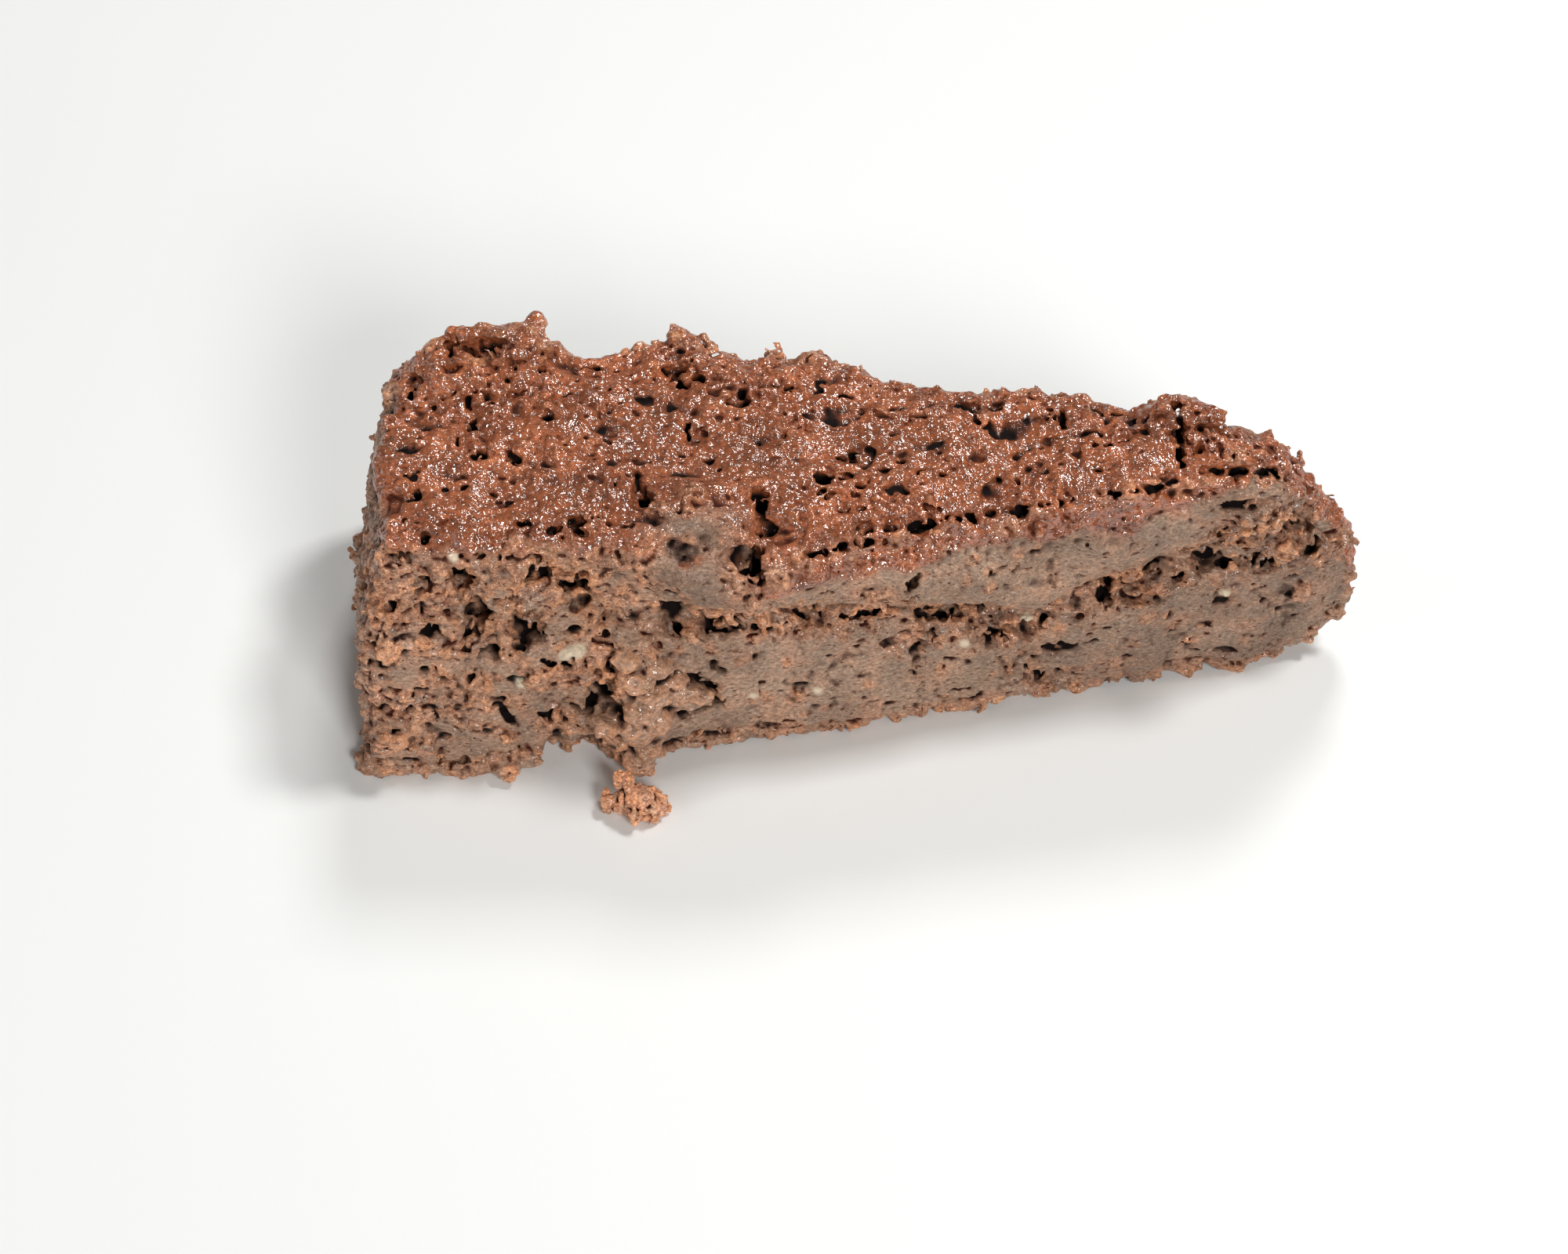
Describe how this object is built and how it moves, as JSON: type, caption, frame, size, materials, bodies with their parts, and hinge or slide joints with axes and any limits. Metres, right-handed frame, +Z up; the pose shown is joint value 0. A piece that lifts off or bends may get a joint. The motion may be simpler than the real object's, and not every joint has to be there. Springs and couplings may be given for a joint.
{
  "type": "slice of rum cake",
  "caption": "Wedge of dark, moist cake cut from a round one, with a torn, crumbly front cut, a pitted shiny top, and one crumb fallen beside it.",
  "frame": {"origin": "centre of the footprint of the slice and its fallen crumb, on the surface they rest on", "axes": "+X along the slice, from its curved rim to its tip; -Y out of the front cut, the one that the picture shows; +Z up"},
  "size_m": [0.1272, 0.0522, 0.0419],
  "materials": {
    "cake": "dark brown moist crumb, matt on the cuts, wet and glossy on the top crust",
    "crumb": "loose reddish brown crumb, rough"
  },
  "bodies": {
    "root": {"cake_slice": "cake", "fallen_crumb": "crumb"}
  },
  "joints": []
}
